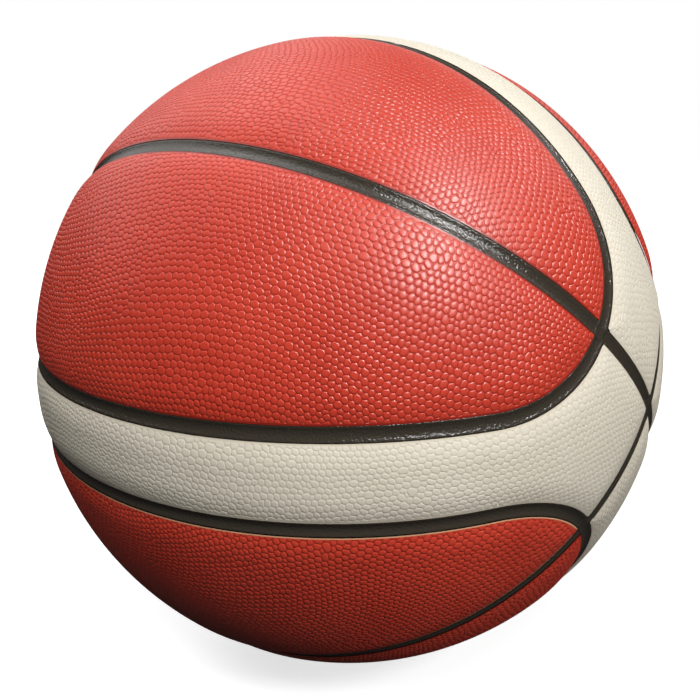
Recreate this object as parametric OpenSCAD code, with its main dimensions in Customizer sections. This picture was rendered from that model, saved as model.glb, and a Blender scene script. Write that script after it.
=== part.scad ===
// Indoor basketball with twelve glued panels over a moulded rubber carcass.
// Origin at the centre of the ball, +Z up, millimetres.
// +X is one of the two poles where the great-circle seams cross. Four ovals, each split by a
// great-circle seam into two dark panels, lie at 45 degrees to the Y and Z axes, and four pale
// panels lie between them, centred on the front (-Y), the back (+Y), the top and the bottom.

/* [Ball] */
// Diameter over the middle of the panels
ball_d = 242; // [238:0.5:249]

/* [Panel layout] */
// Width of a pale band at its waist, between the centre lines of its two seams
band_w = 28; // [24:0.5:36]
// Angle from a pole to the centre of the arc that rounds the end of an oval, degrees
oval_end = 45; // [42:0.5:48]
// Step in a rib where its side arc meets its end arc, too small to see
arc_step = 0.02; // [0.01:0.01:0.05]

/* [Panels] */
// Thickness of a panel at its middle, cover and backing together
panel_t = 2; // [1.8:0.1:3]
// Width of the strip along each edge that is skived and rolls down to the channel
roll_w = 8; // [5:0.5:9]
// How far the edge of a panel lies below its middle
roll_drop = 1; // [0.6:0.1:1.1]
// Radius of the rolled strip, across the seam
roll_r = 45; // [44:1:60]

/* [Channels] */
// Width of a channel between the edges of two panels
channel_w = 4.8; // [4:0.1:7]
// Height of a panel's cut edge above the rubber beside it
lip_h = 0.3; // [0.1:0.05:0.35]

/* [Layers] */
// Wall of the rubber carcass between its ribs
carcass_t = 1.2; // [1:0.1:2.5]
// Thickness of the wound thread layer
winding_t = 0.7; // [0.5:0.1:1.5]
// Wall of the bladder
bladder_t = 0.8; // [0.6:0.1:1.5]
// Cement line between two layers, and beside a rib
cement_t = 0.15; // [0.1:0.05:0.25]

/* [Valve] */
// Distance from the seam to the axis of the valve, over the surface
valve_offset = 15; // [13:0.5:22]
// Diameter of the hole punched in the panel
cover_hole_d = 7.6; // [6:0.1:9]
// Diameter of the mouth of the valve housing, which fills that hole
mouth_d = 7; // [5.5:0.1:8.5]
// Depth of the mouth below the surface of the panel
mouth_recess = 0.6; // [0.2:0.1:1]
// Diameter of the body of the valve housing, below the panel
housing_d = 11; // [9.5:0.5:14]
// Gap between that body and the panel above it
body_gap = 0.5; // [0.3:0.1:0.8]
// Length of the housing from the inside of the bladder inwards
housing_in = 10; // [8:0.5:14]
// Diameter of the flange that is bonded to the inside of the bladder
flange_d = 32; // [24:1:44]
// Thickness of the flange
flange_t = 1.4; // [1:0.1:2.5]
// Diameter of the plug's stem
plug_d = 4.4; // [4:0.1:4.8]
// Diameter of the plug's head, seated in the mouth
head_d = 5.4; // [5.2:0.1:5.8]
// Height of the plug's head
head_h = 1.6; // [1:0.1:2.5]
// Diameter of the bulb that holds the plug in the housing
bulb_d = 7.2; // [6:0.1:9]
// Length of the bulb
bulb_h = 4; // [3:0.1:6]
// Clearance round the plug and round the housing
valve_fit = 0.1; // [0.05:0.01:0.15]
// Diameter of the hole that takes the inflating needle
needle_d = 2.2; // [1.8:0.1:2.6]
// Length of the straight part of the needle hole
needle_l = 12; // [8:0.5:14]
// Depth of the funnel that leads the needle in
funnel_h = 0.8; // [0.4:0.1:1.2]
// Diameter of the funnel at the surface of the plug
funnel_d = 3.6; // [3:0.1:4.4]

/* [Hidden] */
$fn = 144;

red_tone = "#C9382B";
pale_tone = "#D3CCBC";
rubber_tone = "#34302C";
thread_tone = "#E4E0D4";
bladder_tone = "#26262A";
valve_tone = "#1E1E20";

// Radii of the layers, from the outside in
ball_r = ball_d / 2;
panel_r = ball_r - panel_t;
carcass_r = panel_r - cement_t;
carcass_in_r = carcass_r - carcass_t;
winding_r = carcass_in_r - cement_t;
winding_in_r = winding_r - winding_t;
bladder_r = winding_in_r - cement_t;
bladder_in_r = bladder_r - bladder_t;
rib_r = ball_r - roll_drop - lip_h;
// Far enough for a cutting shape to pass the whole ball
reach = 2 * ball_r;
// How far a cut runs past the surfaces that it goes through
overrun = panel_t / 2;

// Angles at the centre of the ball, for widths measured on its surface
channel_angle = asin(channel_w / 2 / ball_r);
rib_angle = asin((channel_w / 2 - cement_t) / ball_r);
roll_angle = asin(roll_w / ball_r);
band_angle = asin(band_w / 2 / ball_r);

// The end arc of the front top oval is centred where the great-circle seam at 45 degrees
// passes oval_end from the pole: at this latitude and this azimuth from the pole
half_turn_share = sin(45);
end_lat = asin(half_turn_share * sin(oval_end));
end_az = atan(half_turn_share * tan(oval_end));
// Angular radius of that arc, which touches the side arcs of the oval
end_angle = end_lat - band_angle;

// The valve stands in the top back oval, on its back half
valve_tilt = 45 + asin(valve_offset / ball_r);
mouth_top = ball_r - mouth_recess;
housing_top = panel_r - cement_t;
flange_r = bladder_in_r - cement_t;
housing_end = flange_r - housing_in;
head_seat = mouth_top - head_h;
bulb_top = housing_end - cement_t;

// Point at a distance from the centre and an angle from the axis of revolution
function at(r, a) = [r * sin(a), r * cos(a)];

// Centre of the circle of radius r that runs through a and b, on the side of the ball's centre
function arc_centre(a, b, r) =
    let (
        m = (a + b) / 2,
        h = b - a,
        n = [h[1], -h[0]] / norm(h),
        side = n * m > 0 ? -1 : 1
    )
    m + side * n * sqrt(pow(r, 2) - pow(norm(h) / 2, 2));

// Flat wedge from the centre of the ball, between two angles from the axis
module wedge(from, to) {
    steps = 4;
    polygon([
        at(0, from),
        for (i = [0 : steps]) at(reach, from + (to - from) * i / steps),
    ]);
}

// Section of a spherical layer between two radii and two angles
module layer_section(outer_r, inner_r, from, to) {
    difference() {
        intersection() {
            circle(outer_r);
            wedge(from, to);
        }
        circle(inner_r);
    }
}

// Section of what is cut away beyond an edge. On a panel it also takes off what stands above
// the strip that rolls down to the edge; a pocket in the rubber has a plain edge.
module edge_cut(edge, rolled) {
    start = edge - roll_angle;
    roll_start = at(ball_r, start);
    roll_end = at(ball_r - roll_drop, edge);
    layer_section(ball_r + overrun, carcass_r - overrun, edge, 180);
    if (rolled) difference() {
        layer_section(ball_r + overrun, panel_r, start, edge + channel_angle);
        translate(arc_centre(roll_start, roll_end, roll_r)) circle(roll_r);
    }
}

// Section of a panel or a pocket from one angle to its edge at another
module edge_section(inner_r, from, edge, rolled) {
    difference() {
        layer_section(ball_r, inner_r, from, edge);
        edge_cut(edge, rolled);
    }
}

// Angular radius of the end arc's seam for a panel, or for a pocket with its step
function end_seam(rolled) = rolled ? end_angle : end_angle - asin(arc_step / ball_r);

// Turns a shape about +Z into place about the centre of the oval's end arc
module at_oval_end() rotate([0, 90 - end_lat, -end_az]) children();

// Both ends of an oval
module both_ends() {
    children();
    mirror([1, 0, 0]) children();
}

// All that lies past the plane in which the side arcs of an oval touch its end arc
module past_touch() {
    rotate([0, 0, -end_az]) translate([-reach, 0, -reach]) cube([2 * reach, reach, 2 * reach]);
}

// Half turn about +Z on the front of the ball
module front_turn() rotate([0, 0, 180]) rotate_extrude(angle = 180) children();

// What the great-circle seam at 45 degrees takes from the piece in front of it
module middle_cut(inset, rolled) {
    rotate([135, 0, 0]) rotate_extrude() edge_cut(90 - inset, rolled);
}

// What the end arc of the oval takes from the piece outside it
module end_cut(inset, rolled) {
    at_oval_end() rotate_extrude() mirror([0, 1]) edge_cut(180 - end_seam(rolled) - inset, rolled);
}

// Front half of the front top oval, between its lower side arc and the great-circle seam.
// It is a panel, or the pocket in the rubber that takes it; inset is half its seam's width.
module red_blank(inner_r, inset, rolled) {
    difference() {
        union() {
            difference() {
                front_turn() edge_section(inner_r, 0, 90 - band_angle - inset, rolled);
                both_ends() past_touch();
            }
            both_ends() intersection() {
                at_oval_end() rotate_extrude()
                    edge_section(inner_r, 0, end_seam(rolled) - inset, rolled);
                past_touch();
            }
        }
        middle_cut(inset, rolled);
    }
}

// Pointed end of the front pale panel, between the end arcs of two ovals and the pole.
// The seams are cut one after the other, each with its own difference.
module pale_end(inner_r, inset, rolled) {
    difference() {
        difference() {
            difference() {
                difference() {
                    intersection() {
                        front_turn() layer_section(ball_r, inner_r, 45, 135);
                        past_touch();
                    }
                    middle_cut(inset, rolled);
                }
                mirror([0, 0, 1]) middle_cut(inset, rolled);
            }
            end_cut(inset, rolled);
        }
        mirror([0, 0, 1]) end_cut(inset, rolled);
    }
}

// Front pale panel, or its pocket: the waist between two side arcs, and the two ends
module pale_blank(inner_r, inset, rolled) {
    edge = 90 + band_angle - inset;
    difference() {
        front_turn() intersection() {
            edge_section(inner_r, 90 - band_angle, edge, rolled);
            mirror([0, 1]) edge_section(inner_r, 90 - band_angle, edge, rolled);
        }
        both_ends() past_touch();
    }
    both_ends() pale_end(inner_r, inset, rolled);
}

module red_panel() color(red_tone) red_blank(panel_r, channel_angle, true);

module pale_panel() color(pale_tone) pale_blank(panel_r, channel_angle, true);

// Quarter turns about the line of poles take the front to the bottom, the back and the top
module quarter(turns) rotate([90 * turns, 0, 0]) children();

// Mirrored top to bottom
module upside_down() mirror([0, 0, 1]) children();

module red_panel_front_top() red_panel();

module red_panel_front_bottom() upside_down() red_panel();

module red_panel_bottom_front() quarter(1) red_panel();

module red_panel_bottom_back() quarter(1) upside_down() red_panel();

module red_panel_back_bottom() quarter(2) red_panel();

module red_panel_back_top() {
    difference() {
        quarter(2) upside_down() red_panel();
        valve_hole(cover_hole_d);
    }
}

module red_panel_top_back() quarter(3) red_panel();

module red_panel_top_front() quarter(3) upside_down() red_panel();

module pale_panel_front() pale_panel();

module pale_panel_bottom() quarter(1) pale_panel();

module pale_panel_back() quarter(2) pale_panel();

module pale_panel_top() quarter(3) pale_panel();

// Pocket between the ribs for one dark panel
module red_pocket() red_blank(carcass_r, rib_angle, false);

// Pocket between the ribs for one pale panel
module pale_pocket() pale_blank(carcass_r, rib_angle, false);

// Rubber layer with the ribs that show between the panels as dark channels
module carcass() {
    color(rubber_tone) difference() {
        rotate_extrude() layer_section(rib_r, carcass_in_r, 0, 180);
        red_pocket();
        upside_down() red_pocket();
        quarter(1) red_pocket();
        quarter(1) upside_down() red_pocket();
        quarter(2) red_pocket();
        quarter(2) upside_down() red_pocket();
        quarter(3) red_pocket();
        quarter(3) upside_down() red_pocket();
        pale_pocket();
        quarter(1) pale_pocket();
        quarter(2) pale_pocket();
        quarter(3) pale_pocket();
        valve_hole(housing_d + 2 * valve_fit);
    }
}

// Layer of nylon thread wound over the bladder in all directions
module winding() {
    color(thread_tone) difference() {
        rotate_extrude() layer_section(winding_r, winding_in_r, 0, 180);
        valve_hole(housing_d + 2 * valve_fit);
    }
}

// Air-tight inner ball
module bladder() {
    color(bladder_tone) difference() {
        rotate_extrude() layer_section(bladder_r, bladder_in_r, 0, 180);
        valve_hole(housing_d + 2 * valve_fit);
    }
}

// Turns a shape that stands on +Z to where the valve is
module at_valve() rotate([-valve_tilt, 0, 0]) children();

module valve_hole(d) {
    at_valve() translate([0, 0, housing_end]) cylinder(h = reach - housing_end, d = d);
}

// Soft rubber boot with a flange inside the bladder and a mouth in the panel's hole
module valve_housing() {
    color(valve_tone) at_valve() difference() {
        union() {
            rotate_extrude() intersection() {
                layer_section(flange_r, flange_r - flange_t, 0, 90);
                square([flange_d / 2, reach]);
            }
            translate([0, 0, housing_end])
                cylinder(h = housing_top - body_gap - housing_end, d = housing_d);
            translate([0, 0, housing_end]) cylinder(h = mouth_top - housing_end, d = mouth_d);
        }
        translate([0, 0, housing_end - cement_t])
            cylinder(h = reach - housing_end, d = plug_d + 2 * valve_fit);
        translate([0, 0, head_seat - valve_fit])
            cylinder(h = reach - head_seat, d = head_d + 2 * valve_fit);
    }
}

// Plug with the needle hole: a head in the mouth, a stem and a tapered bulb behind the housing
module valve_plug() {
    color(valve_tone) at_valve() difference() {
        union() {
            translate([0, 0, head_seat]) cylinder(h = head_h, d = head_d);
            translate([0, 0, bulb_top]) cylinder(h = mouth_top - bulb_top, d = plug_d);
            translate([0, 0, bulb_top - bulb_h]) cylinder(h = bulb_h, d1 = plug_d, d2 = bulb_d);
        }
        translate([0, 0, mouth_top - funnel_h]) cylinder(h = funnel_h, d1 = needle_d, d2 = funnel_d);
        translate([0, 0, mouth_top - funnel_h - needle_l])
            cylinder(h = needle_l + funnel_h, d = needle_d);
    }
}

red_panel_front_top();
red_panel_front_bottom();
red_panel_back_top();
red_panel_back_bottom();
red_panel_top_front();
red_panel_top_back();
red_panel_bottom_front();
red_panel_bottom_back();
pale_panel_front();
pale_panel_back();
pale_panel_top();
pale_panel_bottom();
carcass();
winding();
bladder();
valve_housing();
valve_plug();
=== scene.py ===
"""Indoor basketball: pebbled cover panels, moulded rubber channels and a needle valve.

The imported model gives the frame. The covers and the rubber between them are modelled here with
their pebbles, rolled edges and hollow channels; the pieces inside the ball stay as they are.
"""

import logging
import math
import random
from dataclasses import dataclass, field
from enum import Enum

import bmesh
import bpy
import numpy as np
from mathutils import Matrix, Vector


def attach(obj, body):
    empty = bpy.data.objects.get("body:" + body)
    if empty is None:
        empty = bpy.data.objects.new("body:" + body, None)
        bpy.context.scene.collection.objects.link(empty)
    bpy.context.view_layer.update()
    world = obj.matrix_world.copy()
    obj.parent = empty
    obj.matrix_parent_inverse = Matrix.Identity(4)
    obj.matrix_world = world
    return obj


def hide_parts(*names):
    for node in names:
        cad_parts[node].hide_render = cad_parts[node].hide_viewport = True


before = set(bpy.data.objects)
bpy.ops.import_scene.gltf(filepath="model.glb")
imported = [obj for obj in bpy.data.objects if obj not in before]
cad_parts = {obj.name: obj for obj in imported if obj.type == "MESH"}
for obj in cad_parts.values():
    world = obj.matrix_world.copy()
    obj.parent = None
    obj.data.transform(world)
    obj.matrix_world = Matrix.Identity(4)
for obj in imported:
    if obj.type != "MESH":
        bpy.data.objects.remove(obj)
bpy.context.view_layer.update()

log = logging.getLogger("basketball")

MM = 0.001
RELIEF = "relief"

Colour = tuple[float, float, float]
Materials = list[bpy.types.Material]


def unit(vectors: np.ndarray) -> np.ndarray:
    """Rows of vectors scaled to a length of one."""
    return vectors / np.linalg.norm(vectors, axis=1, keepdims=True)


def angle_to(directions: np.ndarray, axis: np.ndarray) -> np.ndarray:
    """Angles between rows of unit vectors and an axis, in radians."""
    return np.arccos(np.clip(directions @ axis, -1.0, 1.0))


def smooth_step(low: float, high: float, values: np.ndarray) -> np.ndarray:
    """Goes from 0 to 1 as values go from low to high, flat at both ends."""
    t = np.clip((values - low) / (high - low), 0.0, 1.0)
    return t * t * (3.0 - 2.0 * t)


def places(bm: bmesh.types.BMesh) -> np.ndarray:
    """Coordinates of every vertex, one a row, in the order of their indices."""
    bm.verts.index_update()
    return np.array([v.co[:] for v in bm.verts])


class Side(Enum):
    """Where a quarter of the ball faces, as its number of quarter turns about the poles."""

    FRONT = 0
    BOTTOM = 1
    BACK = 2
    TOP = 3


class Cover(Enum):
    """The two kinds of cover panel."""

    RED = "red"
    PALE = "pale"


@dataclass
class SeamLayout:
    """Seams of the ball: two great circles through the poles on X, and four ovals.

    Lengths are in metres on the surface and angles in radians at the centre.

    Attributes:
        ball_radius: Radius of the ball.
        seam_tilt: Angle of the great circles with the level plane.
        band_width: Width of the pale bands between the middles of their seams.
        oval_end: Angle along a great circle from the pole to the middle of an end arc's circle.
        channel_width: Width of the channels between the covers.
        carcass_radius: Radius of the carcass between its ribs.
    """

    ball_radius: float = 121.0 * MM
    seam_tilt: float = math.radians(45.0)
    band_width: float = 28.0 * MM
    oval_end: float = math.radians(45.0)
    channel_width: float = 4.8 * MM
    carcass_radius: float = 118.85 * MM

    def __post_init__(self) -> None:
        """Works out the arcs of the front top oval."""
        half = math.sin(self.seam_tilt)
        self.band_angle = math.asin(self.band_width / 2 / self.ball_radius)
        end_latitude = math.asin(half * math.sin(self.oval_end))
        end_azimuth = math.atan(half * math.tan(self.oval_end))
        level = math.cos(end_latitude)
        self.end_angle = end_latitude - self.band_angle
        self.end_axis = np.array(
            [
                level * math.cos(end_azimuth),
                -level * math.sin(end_azimuth),
                math.sin(end_latitude),
            ]
        )
        self.end_azimuth = end_azimuth
        self.past_touch = np.array([math.sin(end_azimuth), math.cos(end_azimuth), 0.0])
        self.middle_axis = np.array([0.0, -half, -half])

    def arcs(self, p: np.ndarray) -> np.ndarray:
        """Signed distance from the outline of the front top oval, over zero inside it.

        Args:
            p: Unit vectors on the right front of the ball, one a row.

        Returns:
            Distances over the surface in metres.
        """
        side = np.arcsin(np.clip(p[:, 2], -1, 1)) - self.band_angle
        end = self.end_angle - angle_to(p, self.end_axis)
        return self.ball_radius * np.where(p @ self.past_touch > 0, end, side)

    def middle(self, p: np.ndarray) -> np.ndarray:
        """Signed distance from the great-circle seam above the front, over zero below it."""
        return self.ball_radius * np.arcsin(np.clip(p @ self.middle_axis, -1, 1))

    def panel_distance(self, points: np.ndarray, cover: Cover) -> np.ndarray:
        """Distance from the edge of a panel at the front of the ball, over zero inside it.

        Args:
            points: Places on or near the ball, one a row.
            cover: Which panel: the upper red one or the pale one.

        Returns:
            Distances over the surface in metres.
        """
        p = unit(points)
        p[:, 0] = np.abs(p[:, 0])
        if cover is Cover.PALE:
            p[:, 2] = np.abs(p[:, 2])
            arcs = -self.arcs(p)
        else:
            arcs = self.arcs(p)
        return np.minimum(self.middle(p), arcs) - self.channel_width / 2

    def seam_distance(self, points: np.ndarray) -> np.ndarray:
        """Distance over the surface from each point to the nearest seam's centre line.

        Args:
            points: Places on or near the ball, one a row.

        Returns:
            Distances in metres.
        """
        p = np.abs(unit(points))
        near, far = np.maximum(p[:, 1], p[:, 2]), np.minimum(p[:, 1], p[:, 2])
        folded = np.stack([p[:, 0], -near, far], axis=1)
        return np.minimum(np.abs(self.middle(folded)), np.abs(self.arcs(folded)))


@dataclass(frozen=True)
class CoverFinish:
    """Embossed composite leather: tinted pebbles with a satin sheen over grooves darkened with painted
    shade.

    The cloud and grain scales are noise cells in a metre. Height 0 is the bottom of a groove.
    """

    name: str
    colour: Colour
    shade: Colour
    # Colour multiplied into the grooves as painted shade.
    groove_painted_shade: Colour
    roughness: float = 0.34
    sheen: float = 1.0
    cloud_scale: float = 38.0
    cloud_detail: float = 4.0
    tint_band: tuple[float, float] = (0.3, 0.7)
    grain_scale: float = 2600.0
    grain_detail: float = 3.0
    grain_strength: float = 0.15
    grain_height: float = 0.05 * MM
    roughness_spread: float = 0.05
    groove_top: float = 0.7

    def material(self) -> bpy.types.Material:
        """Builds the material's nodes.

        Returns:
            The material.
        """
        made = bpy.data.materials.new(self.name)
        made.use_nodes = True
        nodes, links = made.node_tree.nodes, made.node_tree.links
        shader = nodes["Principled BSDF"]
        place = nodes.new("ShaderNodeTexCoord")
        cloud = nodes.new("ShaderNodeTexNoise")
        cloud.inputs["Scale"].default_value = self.cloud_scale
        cloud.inputs["Detail"].default_value = self.cloud_detail
        tint = nodes.new("ShaderNodeValToRGB")
        stops = zip(tint.color_ramp.elements, self.tint_band, (self.shade, self.colour))
        for stop, position, colour in stops:
            stop.position = position
            stop.color = (*colour, 1)
        grain = nodes.new("ShaderNodeTexNoise")
        grain.inputs["Scale"].default_value = self.grain_scale
        grain.inputs["Detail"].default_value = self.grain_detail
        bump = nodes.new("ShaderNodeBump")
        bump.inputs["Strength"].default_value = self.grain_strength
        bump.inputs["Distance"].default_value = self.grain_height
        shader.inputs["Specular IOR Level"].default_value = self.sheen
        rough = nodes.new("ShaderNodeMapRange")
        rough.inputs["To Min"].default_value = self.roughness - self.roughness_spread
        rough.inputs["To Max"].default_value = self.roughness + self.roughness_spread
        # Painted shade: down in the grooves the base colour is multiplied by a darker tint, fading out
        # at relief level groove_top.
        height = nodes.new("ShaderNodeAttribute")
        height.attribute_name = RELIEF
        ease = nodes.new("ShaderNodeMapRange")
        ease.inputs["From Max"].default_value = self.groove_top
        ease.inputs["To Min"].default_value = 1.0
        ease.inputs["To Max"].default_value = 0.0
        dark = nodes.new("ShaderNodeMix")
        dark.data_type = "RGBA"
        dark.blend_type = "MULTIPLY"
        dark.inputs["B"].default_value = (*self.groove_painted_shade, 1)
        links.new(place.outputs["Object"], cloud.inputs["Vector"])
        links.new(place.outputs["Object"], grain.inputs["Vector"])
        links.new(cloud.outputs["Fac"], tint.inputs["Fac"])
        links.new(height.outputs["Fac"], ease.inputs["Value"])
        links.new(ease.outputs["Result"], dark.inputs["Factor"])
        links.new(tint.outputs["Color"], dark.inputs["A"])
        links.new(dark.outputs["Result"], shader.inputs["Base Color"])
        links.new(grain.outputs["Fac"], bump.inputs["Height"])
        links.new(grain.outputs["Fac"], rough.inputs["Value"])
        links.new(rough.outputs["Result"], shader.inputs["Roughness"])
        links.new(bump.outputs["Normal"], shader.inputs["Normal"])
        return made


@dataclass(frozen=True)
class RubberFinish:
    """Rubber, thread or cut leather: one colour with a fine grain and an uneven gloss."""

    name: str
    colour: Colour
    roughness: float = 0.4
    grain_size: float = 0.35 * MM
    grain_height: float = 0.05 * MM
    sheen: float = 0.5
    grain_detail: float = 2.0
    grain_strength: float = 0.6
    smoother: float = 0.08
    rougher: float = 0.1

    def material(self) -> bpy.types.Material:
        """Builds the material's nodes.

        Returns:
            The material.
        """
        made = bpy.data.materials.new(self.name)
        made.use_nodes = True
        nodes, links = made.node_tree.nodes, made.node_tree.links
        shader = nodes["Principled BSDF"]
        shader.inputs["Base Color"].default_value = (*self.colour, 1)
        shader.inputs["Specular IOR Level"].default_value = self.sheen
        place = nodes.new("ShaderNodeTexCoord")
        grain = nodes.new("ShaderNodeTexNoise")
        grain.inputs["Scale"].default_value = 1.0 / self.grain_size
        grain.inputs["Detail"].default_value = self.grain_detail
        bump = nodes.new("ShaderNodeBump")
        bump.inputs["Strength"].default_value = self.grain_strength
        bump.inputs["Distance"].default_value = self.grain_height
        rough = nodes.new("ShaderNodeMapRange")
        rough.inputs["To Min"].default_value = self.roughness - self.smoother
        rough.inputs["To Max"].default_value = self.roughness + self.rougher
        links.new(place.outputs["Object"], grain.inputs["Vector"])
        links.new(grain.outputs["Fac"], bump.inputs["Height"])
        links.new(grain.outputs["Fac"], rough.inputs["Value"])
        links.new(rough.outputs["Result"], shader.inputs["Roughness"])
        links.new(bump.outputs["Normal"], shader.inputs["Normal"])
        return made


@dataclass
class Piece:
    """What every new piece has in common."""

    layout: SeamLayout

    def finish(
        self, bm: bmesh.types.BMesh, name: str, finishes: Materials, slot: str
    ) -> bpy.types.Object:
        """Makes the object, dresses it and sets it in the frame.

        Args:
            bm: The finished mesh, in place. It is freed.
            name: Name of the piece.
            finishes: Materials, by the index that faces use.
            slot: Material slot of the record; not used.

        Returns:
            The new object.
        """
        mesh = bpy.data.meshes.new(name)
        bm.to_mesh(mesh)
        bm.free()
        piece = bpy.data.objects.new(name, mesh)
        bpy.context.scene.collection.objects.link(piece)
        for finish in finishes:
            mesh.materials.append(finish)
        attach(piece, "root")
        log.info("%s has %d faces", name, len(mesh.polygons))
        return piece


@dataclass
class CoverPanels(Piece):
    """The pebbled cover panels, with skived edges that roll down into the channels.

    Attributes:
        pitch: Distance between the middles of neighbouring pebbles.
        scatter: Spread of their places, as a share of the pitch.
        drift: Reach of the waves that bend their rows, in pitches.
        wave_lengths: Pitches to a radian of the four waves.
        spare: Columns and rows more than a panel needs.
        groove_red: Depth of the grooves of a red panel.
        groove_pale: Depth of the grooves of a pale panel.
        roll_width: Width of the band along the edge that rolls down.
        roll_drop: Drop of the cut edge below the ball's surface.
        underside: Radius of the foot of the cut edge.
        rim: Width of the band along the edge without pebbles.
        pressed: Width of the band along the edge where the grooves run out.
        shoulder: Width of the two rings round the top of a pebble.
        levels: Heights of the two rings, as shares of the groove's depth.
        sliver: Width of the ring that the operator makes before it is scaled.
        smallest: Width of the smallest cell that gets a pebble.
        least: Least size of a ring, as a share of its cell.
        snap: Distance within which a corner counts as on a line.
        merge: Distance within which corners are merged.
        red_reach: Half length of a red panel's sheet, as an angle.
        pale_reach: Half length and half width of a pale panel's sheet, as angles.
        first_seed: Seed of the scatter before that of the first panel.
        bare_panel: Panel whose backing shows along its edge.
        valve_panel: Panel with the valve's hole.
        valve_axis: Direction of the valve.
        valve_hole: Radius of its hole.
        hole_cuts: Cuts in each edge of the hole's rim, to make it round.
    """

    pitch: float = 2.08 * MM
    scatter: float = 0.155
    drift: float = 2.6
    wave_lengths: tuple[int, int, int, int] = (11, 7, 13, 8)
    spare: int = 12
    groove_red: float = 0.34 * MM
    groove_pale: float = 0.16 * MM
    roll_width: float = 8.0 * MM
    roll_drop: float = 1.0 * MM
    underside: float = 119.1 * MM
    rim: float = 0.45 * MM
    pressed: float = 1.3 * MM
    shoulder: tuple[float, float] = (0.19 * MM, 0.45 * MM)
    levels: tuple[float, float] = (0.86, 0.98)
    sliver: float = 0.0019 * MM
    smallest: float = 0.12 * MM
    least: float = 0.45
    snap: float = 0.04 * MM
    merge: float = 0.03 * MM
    red_reach: float = math.radians(72)
    pale_reach: tuple[float, float] = (math.radians(91), math.radians(17))
    first_seed: int = 11
    bare_panel: str = "red_panel_front_bottom"
    valve_panel: str = "red_panel_back_top"
    valve_axis: tuple[float, float, float] = (0.0, 0.7893, 0.6140)
    valve_hole: float = 3.8 * MM
    hole_cuts: int = 3

    def sheet(self, centre: Vector, reach: tuple[float, float], seed: int) -> bmesh.types.BMesh:
        """A sheet of six-sided cells laid over the ball.

        Args:
            centre: Direction of the middle of the sheet.
            reach: Half length along the poles and half width across, in metres.
            seed: Seed of the scatter.

        Returns:
            Cells on the sphere, not yet cut to a panel.
        """
        row = self.pitch * math.sqrt(3) / 2
        columns = 2 * math.ceil(reach[0] / self.pitch) + self.spare
        rows = 2 * math.ceil(reach[1] / row) + self.spare
        bm = bmesh.new()
        bmesh.ops.create_grid(bm, x_segments=columns, y_segments=rows, size=0.5)
        scatter = random.Random(seed)
        lean = scatter.uniform(0, math.tau)
        drift, (first, second, third, fourth) = self.drift, self.wave_lengths
        for v in bm.verts:
            x, y = v.co.x * columns, v.co.y * rows
            x += round(y + rows / 2) % 2 / 2 + scatter.gauss(0, self.scatter)
            y += scatter.gauss(0, self.scatter)
            along = x + drift * math.sin(y / first + lean) + math.sin((x + y) / second - lean)
            across = y + drift * math.sin(x / third - lean) + math.sin((x - y) / fourth + lean)
            v.co.x, v.co.y = self.pitch * along, row * across
        bmesh.ops.triangulate(bm, faces=bm.faces[:], quad_method="SHORT_EDGE")
        bmesh.ops.beautify_fill(bm, faces=bm.faces[:], edges=bm.edges[:], method="AREA")
        self.swap_for_cells(bm)
        pole = Vector((1, 0, 0))
        sideways = pole.cross(centre).normalized()
        radius = self.layout.ball_radius
        for v in bm.verts:
            along, side = v.co.x / radius, v.co.y / radius
            level = pole * math.sin(along) + centre * math.cos(along)
            v.co = radius * (level * math.cos(side) + sideways * math.sin(side))
        self.face_outwards(bm)
        return bm

    @staticmethod
    def swap_for_cells(bm: bmesh.types.BMesh) -> None:
        """Swaps a net of triangles for the cells round its corners.

        Args:
            bm: A flat net of triangles.
        """
        corners, ties = bm.verts[:], bm.edges[:]
        bmesh.ops.poke(bm, faces=bm.faces[:])
        inner = [e for e in ties if len(e.link_faces) == 2]
        bmesh.ops.dissolve_edges(bm, edges=inner, use_verts=False, use_face_split=False)
        known = set(corners)
        middles = [v for v in bm.verts if v not in known]
        bmesh.ops.connect_verts(bm, verts=middles, faces_exclude=[], check_degenerate=False)
        border = [v for v in corners if v.is_boundary]
        bmesh.ops.delete(bm, geom=border, context="VERTS")
        bmesh.ops.dissolve_verts(bm, verts=[v for v in corners if v.is_valid])

    @staticmethod
    def face_outwards(bm: bmesh.types.BMesh) -> None:
        """Turns an open sheet's faces away from the centre of the ball."""
        bm.normal_update()
        wrong = [f for f in bm.faces if f.normal.dot(f.calc_center_median()) < 0]
        bmesh.ops.reverse_faces(bm, faces=wrong)

    def edge_distance(self, points: np.ndarray, cover: Cover, hole: np.ndarray | None) -> np.ndarray:
        """Distance from the nearest edge of a panel at the front, the valve's hole included.

        Args:
            points: Places on or near the ball, one a row.
            cover: Which panel.
            hole: Direction of the valve's hole, or None.

        Returns:
            Distances in metres, over zero inside the panel.
        """
        distance = self.layout.panel_distance(points, cover)
        if hole is None:
            return distance
        ring = self.layout.ball_radius * angle_to(unit(points), hole) - self.valve_hole
        return np.minimum(distance, ring)

    def score(
        self, bm: bmesh.types.BMesh, cover: Cover, hole: np.ndarray | None, inset: float
    ) -> None:
        """Splits faces along the line that runs at one distance from a panel's edge.

        Args:
            bm: The sheet.
            cover: Which panel.
            hole: Direction of the valve's hole, or None.
            inset: Distance of the line from the edge.
        """
        values = self.edge_distance(places(bm), cover, hole) - inset
        values = np.where(np.abs(values) < self.snap, 0.0, values)
        share = {}
        for e in bm.edges:
            a, b = values[e.verts[0].index], values[e.verts[1].index]
            if a * b < 0:
                share[e] = a / (a - b)
        made = bmesh.ops.bisect_edges(bm, edges=list(share), cuts=1, edge_percents=share)
        new = [g for g in made["geom_split"] if isinstance(g, bmesh.types.BMVert)]
        values = self.edge_distance(places(bm), cover, hole) - inset
        line = new + [v for v in bm.verts if abs(values[v.index]) < self.snap]
        bmesh.ops.connect_verts(bm, verts=list(set(line)), faces_exclude=[], check_degenerate=False)

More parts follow.
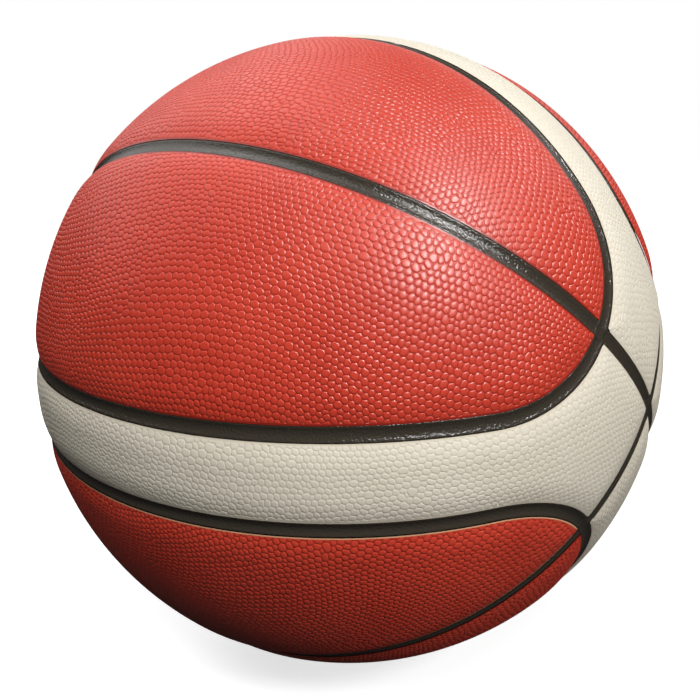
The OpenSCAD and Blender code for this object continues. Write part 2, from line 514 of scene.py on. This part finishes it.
    def cut_out(self, bm: bmesh.types.BMesh, cover: Cover, hole: np.ndarray | None) -> None:
        """Cuts a sheet to a panel and scores the line where its pebbles begin.

        Args:
            bm: The sheet.
            cover: Which panel to cut.
            hole: Direction of the valve's hole, or None.
        """
        margin = 2 * self.pitch
        far = self.edge_distance(places(bm), cover, hole) < -margin
        bmesh.ops.delete(bm, geom=[v for v in bm.verts if far[v.index]], context="VERTS")
        for inset in (0.0, self.rim):
            self.score(bm, cover, hole, inset)
        centres = np.array([f.calc_center_median()[:] for f in bm.faces])
        outside = self.edge_distance(centres, cover, hole) < 0
        waste = [f for f, out in zip(bm.faces, outside) if out]
        bmesh.ops.delete(bm, geom=waste, context="FACES")
        bmesh.ops.delete(bm, geom=[v for v in bm.verts if not v.link_faces], context="VERTS")
        bmesh.ops.remove_doubles(bm, verts=bm.verts[:], dist=self.merge)
        if hole is not None:
            self.round_off(bm, Vector(hole))

    def round_off(self, bm: bmesh.types.BMesh, axis: Vector) -> None:
        """Makes the rim of the valve's hole round.

        Args:
            bm: The sheet, cut to a panel.
            axis: Direction of the hole.
        """
        reach = self.valve_hole / self.layout.ball_radius
        near = {v for v in bm.verts if v.is_boundary and v.co.angle(axis) < 2 * reach}
        rim = [e for e in bm.edges if e.is_boundary and near.issuperset(e.verts)]
        made = bmesh.ops.bisect_edges(bm, edges=rim, cuts=self.hole_cuts)
        new = {g for g in made["geom_split"] if isinstance(g, bmesh.types.BMVert)}
        for v in new | {v for e in rim if e.is_valid for v in e.verts}:
            side = (v.co - axis * v.co.dot(axis)).normalized()
            v.co = self.layout.ball_radius * (axis * math.cos(reach) + side * math.sin(reach))

    def emboss(
        self, bm: bmesh.types.BMesh, cover: Cover, hole: np.ndarray | None, bare: bool
    ) -> None:
        """Raises a pebble on each cell and shapes the sheet to the ball.

        Args:
            bm: The sheet, cut to a panel.
            cover: Which panel it is.
            hole: Direction of the valve's hole, or None.
            bare: Whether the backing shows along the edge.
        """
        wall = [e for e in bm.edges if e.is_boundary]
        skirt = bmesh.ops.extrude_edge_only(bm, edges=wall)["geom"]
        lower = [g for g in skirt if isinstance(g, bmesh.types.BMVert)]
        # The skirt takes the cut edge's material; on the pale panels its dark colour is painted shade.
        for f in (g for g in skirt if isinstance(g, bmesh.types.BMFace)):
            f.material_index = 1
        for v in lower:
            v.co = v.co.normalized() * self.underside
        relief = bm.verts.layers.float.new(RELIEF)
        centres = np.array([f.calc_center_median()[:] for f in bm.faces])
        distance = self.edge_distance(centres, cover, hole)
        if bare:
            for f, d in zip(bm.faces, distance):
                f.material_index = 1 if d < self.rim else f.material_index
        cells = [f for f, d in zip(bm.faces, distance) if d > self.rim and f.material_index == 0]
        cells = [f for f in cells if 2 * f.calc_area() > self.smallest * f.calc_perimeter()]
        centre = [f.calc_center_median() for f in cells]
        inner = [2 * f.calc_area() / f.calc_perimeter() for f in cells]
        for width, level in zip(self.shoulder, self.levels):
            bmesh.ops.inset_individual(bm, faces=cells, thickness=self.sliver, depth=0.0)
            for f, middle, radius in zip(cells, centre, inner):
                now = 2 * f.calc_area() / f.calc_perimeter()
                share = max(radius - width, radius * self.least) / now
                for v in f.verts:
                    v.co = middle + (v.co - middle) * share
                    v[relief] = level
        for v in bmesh.ops.poke(bm, faces=cells)["verts"]:
            v[relief] = 1.0
        where = places(bm)
        low = set(lower)
        level = np.array([v[relief] for v in bm.verts])
        edge = self.edge_distance(where, cover, hole)
        seam = self.layout.panel_distance(where, cover)
        groove = self.groove_red if cover is Cover.RED else self.groove_pale
        depth = groove * (1 - level) * smooth_step(0.0, self.pressed, edge)
        roll = self.roll_drop * np.clip(1 - np.maximum(seam, 0) / self.roll_width, 0, 1) ** 2
        radius = self.layout.ball_radius - depth - roll
        for v, r in zip(bm.verts, radius):
            if v not in low:
                v.co = v.co.normalized() * r
        for f in bm.faces:
            f.smooth = True
        for e in wall:
            e.smooth = False

    def build(
        self, name: str, side: Side, cover: Cover, flipped: bool, seed: int, finishes: Materials
    ) -> None:
        """Makes one panel.

        Args:
            name: Name of the CAD node that the panel stands for.
            side: Quarter of the ball whose pale panel it is or borders.
            cover: Red or pale.
            flipped: Whether it is the mirror image of the panel at the front.
            seed: Seed of the scatter.
            finishes: Materials of the cover and of its cut edge.
        """
        layout = self.layout
        radius = layout.ball_radius
        turn = Matrix.Rotation(math.radians(90 * side.value), 3, "X")
        if flipped:
            turn = turn @ Matrix.Diagonal((1, 1, -1))
        hole = None
        if name == self.valve_panel:
            hole = np.array(turn.inverted() @ Vector(self.valve_axis))
        if cover is Cover.RED:
            rise = (layout.band_angle + layout.seam_tilt) / 2
            reach = (radius * self.red_reach, radius * (layout.seam_tilt - rise))
        else:
            rise = 0.0
            reach = (radius * self.pale_reach[0], radius * self.pale_reach[1])
        bm = self.sheet(Vector((0, -math.cos(rise), math.sin(rise))), reach, seed)
        self.cut_out(bm, cover, hole)
        self.emboss(bm, cover, hole, name == self.bare_panel)
        bmesh.ops.transform(bm, matrix=turn.to_4x4(), verts=bm.verts[:])
        if flipped:
            bmesh.ops.reverse_faces(bm, faces=bm.faces[:])
        piece = self.finish(bm, f"{name}_cover", finishes, f"{cover.value}_cover")
        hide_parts(name)

    def build_all(self, red: Materials, pale: Materials) -> None:
        """Makes the twelve panels.

        Args:
            red: Materials of a red cover and of its cut edge.
            pale: Materials of a pale cover and of its cut edge, whose dark colour is painted shade.
        """
        next_side = {Side.FRONT: "top", Side.BOTTOM: "front", Side.BACK: "bottom", Side.TOP: "back"}
        seed = self.first_seed
        for side in Side:
            place = side.name.lower()
            neighbours = ("top", "bottom") if side in (Side.FRONT, Side.BACK) else ("front", "back")
            for neighbour in neighbours:
                flipped = neighbour != next_side[side]
                seed += 1
                self.build(f"red_panel_{place}_{neighbour}", side, Cover.RED, flipped, seed, red)
            seed += 1
            self.build(f"pale_panel_{place}", side, Cover.PALE, False, seed, pale)


@dataclass
class RubberCarcass(Piece):
    """The rubber layer under the covers, whose ribs show as hollow channels.

    Attributes:
        rib_width: Width of a rib.
        land: Width of the flat strip on each side of its hollow.
        brim: Drop of that strip below the ball's surface.
        hollow: Depth of the hollow below the strip.
        rounding: Drop of the rib's corners.
        step: Length of a face along a rib.
        fewest: Least number of faces along an arc.
        root: Radius of the foot of a rib, under the carcass's surface.
        clear: Height over the carcass from which a corner belongs to a rib's top.
        across: Faces across a rib.
        shell: Segments and rings of the sphere under the ribs.
    """

    rib_width: float = 4.74 * MM
    land: float = 0.35 * MM
    brim: float = 1.1 * MM
    hollow: float = 0.6 * MM
    rounding: float = 0.06 * MM
    step: float = 1.0 * MM
    fewest: int = 8
    root: float = 118.6 * MM
    clear: float = 0.5 * MM
    across: int = 12
    shell: tuple[int, int] = (96, 48)

    def rib(self, angle: float, sweep: float) -> bpy.types.Mesh:
        """Spins a rib about Z, evenly to both sides of the XZ plane.

        Args:
            angle: Angle between the axis and the seam's centre line.
            sweep: Angle that the rib sweeps.

        Returns:
            The rib as a mesh of its own.
        """
        radius = self.layout.ball_radius
        half = self.rib_width / 2 / radius
        row = [angle + half * (2 * i / self.across - 1) for i in range(self.across + 1)]
        heights = [self.root] + [radius] * len(row) + [self.root]
        bm = bmesh.new()
        turn = Matrix.Rotation(-sweep / 2, 3, "Z")
        verts = []
        for polar, height in zip([row[0], *row, row[-1]], heights):
            verts.append(bm.verts.new(turn @ Vector((math.sin(polar), 0, math.cos(polar))) * height))
        edges = [bm.edges.new(pair) for pair in zip(verts, verts[1:])]
        steps = max(self.fewest, round(radius * math.sin(angle) * sweep / self.step))
        whole = math.isclose(sweep, math.tau)
        bmesh.ops.spin(bm, geom=verts + edges, axis=(0, 0, 1), angle=sweep, steps=steps, use_merge=whole)
        bm.normal_update()
        top = max(bm.faces, key=lambda f: f.calc_center_median().length)
        if top.normal.dot(top.calc_center_median()) < 0:
            bmesh.ops.reverse_faces(bm, faces=bm.faces[:])
        mesh = bpy.data.meshes.new("rib")
        bm.to_mesh(mesh)
        bm.free()
        return mesh

    def lay(self, bm: bmesh.types.BMesh, rib: bpy.types.Mesh, place: Matrix) -> None:
        """Adds a copy of a rib.

        Args:
            bm: Mesh that the rib is added to.
            rib: The rib.
            place: Rotation that takes the rib to its seam.
        """
        first, faces = len(bm.verts), len(bm.faces)
        bm.from_mesh(rib)
        bm.verts.ensure_lookup_table()
        bm.faces.ensure_lookup_table()
        bmesh.ops.transform(bm, matrix=place.to_4x4(), verts=bm.verts[first:])
        if place.determinant() < 0:
            bmesh.ops.reverse_faces(bm, faces=bm.faces[faces:])

    def build(self, finish: bpy.types.Material) -> None:
        """Makes the carcass with its ribs.

        Args:
            finish: Material of the rubber.
        """
        layout = self.layout
        bm = bmesh.new()
        round_about, pole_to_pole = self.shell
        bmesh.ops.create_uvsphere(
            bm, u_segments=round_about, v_segments=pole_to_pole, radius=layout.carcass_radius
        )
        quarter = math.radians(90)
        axis = Vector(layout.end_axis)
        to_pole = Vector((1, 0, 0)) - axis * axis.x
        to_touch = Vector((0, 0, -1)) + axis * axis.z
        middle = self.rib(quarter, math.tau)
        side = self.rib(quarter - layout.band_angle, math.pi - 2 * layout.end_azimuth)
        end = self.rib(layout.end_angle, 2 * to_pole.angle(to_touch))
        to_pole.normalize()
        end_place = Matrix((to_pole, axis.cross(to_pole), axis)).transposed()
        to_front = Matrix.Rotation(-quarter, 3, "Z")
        for tilt in (45, 135):
            self.lay(bm, middle, Matrix.Rotation(math.radians(tilt), 3, "X"))
        for turns in range(4):
            turn = Matrix.Rotation(quarter * turns, 3, "X")
            for sign in (1, -1):
                self.lay(bm, side, turn @ Matrix.Diagonal((1, 1, sign)) @ to_front)
                self.lay(bm, end, turn @ Matrix.Diagonal((sign, 1, 1)) @ end_place)
        where = places(bm)
        distance = layout.seam_distance(where)
        trough = np.clip(1 - (distance / (self.rib_width / 2 - self.land)) ** 2, 0, 1)
        corner = smooth_step(self.rib_width / 2 - 1.5 * self.land, self.rib_width / 2, distance)
        height = layout.ball_radius - self.brim - self.hollow * trough - self.rounding * corner
        outer = np.linalg.norm(where, axis=1) > layout.carcass_radius + self.clear
        for v, r, out in zip(bm.verts, height, outer):
            if out:
                v.co = v.co.normalized() * r
        for f in bm.faces:
            f.smooth = True
        piece = self.finish(bm, "carcass_ribbed", [finish], "channel_rubber")
        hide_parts("carcass")


@dataclass(frozen=True)
class Lamp:
    """A square lamp that faces the ball.

    Attributes:
        name: Name of the lamp.
        towards: Direction of the lamp from the ball.
        size: Side of the lamp in metres.
        power: Power in watts.
        shines: Whether it makes highlights.
        fills: Whether it lights what doesn't shine.
    """

    name: str
    towards: tuple[float, float, float]
    size: float
    power: float
    shines: bool = True
    fills: bool = True


@dataclass
class Studio:
    """Camera, lamps and the white floor.

    Attributes:
        layout: The ball's measures.
        view: Direction of the camera from the ball.
        up: Direction that is up in the picture.
        distance: Distance of the camera, in ball radii.
        sensor: Width of the camera's sensor in millimetres.
        focal_share: Focal length as a share of the sensor's width.
        shift: Shift of the picture that the framing needs.
        near: Distance from which the camera sees.
        sky: Strength of the world's light on the ball.
        lamp_distance: Distance of the lamps.
        lamps: The lamps.
        floor_size: Half side of the floor.
        floor_glow: What the floor under the ball shows the camera by itself.
        shadow_reach: Radii between which the floor's own glow rises to white.
        floor_colour: Grey of the floor as the camera sees it.
        bounce: Grey of the floor as the ball sees it.
    """

    layout: SeamLayout
    view: Vector = field(default_factory=lambda: Vector((0.5594, -0.7743, 0.2957)))
    up: Vector = field(default_factory=lambda: Vector((-0.1557, 0.2522, 0.9551)))
    distance: float = 2.458
    sensor: float = 36.0
    focal_share: float = 1.0085
    shift: tuple[float, float] = (0.0009, -0.0018)
    near: float = 0.01
    sky: float = 0.012
    lamp_distance: float = 1.2
    lamps: tuple[Lamp, ...] = (
        Lamp("key", (0.29, -0.47, 0.83), 0.5, 8.2, shines=False),
        Lamp("glint", (0.71, -0.28, 0.64), 0.18, 4.6),
        Lamp("strip", (0.6, 0.0, 0.8), 0.1, 4.0, fills=False),
        Lamp("right", (0.9, -0.1, 0.45), 0.5, 3.1, shines=False),
        Lamp("left", (-0.85, 0.1, 0.56), 0.6, 7.0, shines=False),
        Lamp("haze", (-0.6, -0.1, 0.78), 1.6, 6.5, fills=False),
        Lamp("back", (-0.05, 0.52, 0.85), 0.9, 0.4, shines=False),
        Lamp("sheen", (-0.05, 0.52, 0.85), 2.0, 9.0, fills=False),
    )
    floor_size: float = 4.0
    floor_glow: float = 0.7
    shadow_reach: tuple[float, float] = (0.15, 0.45)
    floor_colour: float = 0.8
    bounce: float = 0.03

    def camera(self) -> None:
        """Places the camera where the photograph was taken from."""
        data = bpy.data.cameras.new("camera")
        data.sensor_width = self.sensor
        data.lens = self.sensor * self.focal_share
        data.shift_x, data.shift_y = self.shift
        data.clip_start = self.near
        camera = bpy.data.objects.new("camera", data)
        bpy.context.scene.collection.objects.link(camera)
        back = self.view.normalized()
        right = self.up.cross(back).normalized()
        turn = Matrix((right, back.cross(right), back)).transposed()
        place = turn.to_4x4()
        place.translation = back * (self.distance * self.layout.ball_radius)
        camera.matrix_world = place
        bpy.context.scene.camera = camera

    def hang(self, lamp: Lamp) -> None:
        """Hangs one lamp.

        Args:
            lamp: Which lamp.
        """
        data = bpy.data.lights.new(lamp.name, "AREA")
        data.size, data.energy = lamp.size, lamp.power
        hung = bpy.data.objects.new(lamp.name, data)
        bpy.context.scene.collection.objects.link(hung)
        direction = Vector(lamp.towards).normalized()
        hung.location = direction * self.lamp_distance
        hung.visible_glossy, hung.visible_diffuse = lamp.shines, lamp.fills
        hung.rotation_euler = direction.to_track_quat("Z", "Y").to_euler()

    def surroundings(self) -> None:
        """Makes the floor and the world, both white to the camera."""
        bm = bmesh.new()
        bmesh.ops.create_grid(bm, x_segments=4, y_segments=4, size=self.floor_size)
        bmesh.ops.translate(bm, vec=(0, 0, -self.layout.ball_radius), verts=bm.verts[:])
        mesh = bpy.data.meshes.new("floor")
        bm.to_mesh(mesh)
        bm.free()
        floor = bpy.data.objects.new("floor", mesh)
        bpy.context.scene.collection.objects.link(floor)
        mesh.materials.append(self.paper())
        world = bpy.data.worlds.new("studio")
        world.use_nodes = True
        bpy.context.scene.world = world
        nodes, links = world.node_tree.nodes, world.node_tree.links
        nodes.clear()
        seen = nodes.new("ShaderNodeLightPath")
        soft = nodes.new("ShaderNodeBackground")
        soft.inputs["Color"].default_value = (1, 1, 1, 1)
        soft.inputs["Strength"].default_value = self.sky
        white = nodes.new("ShaderNodeBackground")
        white.inputs["Strength"].default_value = 1.0
        white.inputs["Color"].default_value = (1, 1, 1, 1)
        choice = nodes.new("ShaderNodeMixShader")
        out = nodes.new("ShaderNodeOutputWorld")
        links.new(seen.outputs["Is Camera Ray"], choice.inputs["Fac"])
        links.new(soft.outputs["Background"], choice.inputs[1])
        links.new(white.outputs["Background"], choice.inputs[2])
        links.new(choice.outputs["Shader"], out.inputs["Surface"])

    def paper(self) -> bpy.types.Material:
        """White paper that shows the ball's shadow to the camera and throws little light back.

        Returns:
            The floor's material.
        """
        made = bpy.data.materials.new("white_floor")
        made.use_nodes = True
        nodes, links = made.node_tree.nodes, made.node_tree.links
        nodes.clear()
        seen = nodes.new("ShaderNodeLightPath")
        place = nodes.new("ShaderNodeTexCoord")
        away = nodes.new("ShaderNodeVectorMath")
        away.operation = "LENGTH"
        rise = nodes.new("ShaderNodeMapRange")
        rise.interpolation_type = "SMOOTHSTEP"
        rise.inputs["From Min"].default_value = self.shadow_reach[0]
        rise.inputs["From Max"].default_value = self.shadow_reach[1]
        rise.inputs["To Min"].default_value = self.floor_glow
        glow = nodes.new("ShaderNodeEmission")
        links.new(place.outputs["Object"], away.inputs[0])
        links.new(away.outputs["Value"], rise.inputs["Value"])
        links.new(rise.outputs["Result"], glow.inputs["Strength"])
        lit = nodes.new("ShaderNodeBsdfDiffuse")
        lit.inputs["Color"].default_value = (*[self.floor_colour] * 3, 1)
        both = nodes.new("ShaderNodeAddShader")
        dull = nodes.new("ShaderNodeBsdfDiffuse")
        dull.inputs["Color"].default_value = (*[self.bounce] * 3, 1)
        choice = nodes.new("ShaderNodeMixShader")
        out = nodes.new("ShaderNodeOutputMaterial")
        links.new(glow.outputs["Emission"], both.inputs[0])
        links.new(lit.outputs["BSDF"], both.inputs[1])
        links.new(seen.outputs["Is Camera Ray"], choice.inputs["Fac"])
        links.new(dull.outputs["BSDF"], choice.inputs[1])
        links.new(both.outputs["Shader"], choice.inputs[2])
        links.new(choice.outputs["Shader"], out.inputs["Surface"])
        return made

    def build(self) -> None:
        """Sets everything up."""
        bpy.context.scene.view_settings.view_transform = "Standard"
        self.camera()
        self.surroundings()
        for lamp in self.lamps:
            self.hang(lamp)


def main() -> None:
    """Builds the pieces in order."""
    logging.basicConfig(level=logging.INFO, format="%(name)s: %(message)s")
    layout = SeamLayout()
    # Each cover's fourth colour is the painted shade in its grooves.
    red = CoverFinish(
        "red_cover", (0.725, 0.066, 0.035), (0.65, 0.052, 0.027), (0.5, 0.35, 0.35)
    ).material()
    red_edge = RubberFinish("red_cut_edge", (0.9, 0.48, 0.27), 0.6).material()
    pale = CoverFinish(
        "pale_cover", (0.89, 0.825, 0.69), (0.84, 0.765, 0.63), (0.92, 0.89, 0.85), 0.5, 0.4
    ).material()
    # Painted shade: the pale panels' cut edges are dark grey-brown to show the shadow in the gap beside
    # them.
    pale_edge_painted_shade = RubberFinish("pale_cut_edge_painted_shade", (0.3, 0.26, 0.2), 0.6).material()
    rubber = RubberFinish(
        "channel_rubber", (0.05, 0.041, 0.03), 0.17, 0.7 * MM, 0.4 * MM, 1.0
    ).material()
    CoverPanels(layout).build_all([red, red_edge], [pale, pale_edge_painted_shade])
    RubberCarcass(layout).build(rubber)
    valve = RubberFinish("valve_rubber", (0.02, 0.02, 0.021), 0.5).material()
    thread = RubberFinish("nylon_thread", (0.6, 0.56, 0.48), 0.7).material()
    bladder = RubberFinish("bladder_rubber", (0.025, 0.025, 0.028), 0.6).material()
    dress = {
        "valve_housing": valve,
        "valve_plug": valve,
        "winding": thread,
        "bladder": bladder,
    }
    for node, finish in dress.items():
        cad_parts[node].data.materials.clear()
        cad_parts[node].data.materials.append(finish)
    Studio(layout).build()


if __name__ == "__main__":
    main()
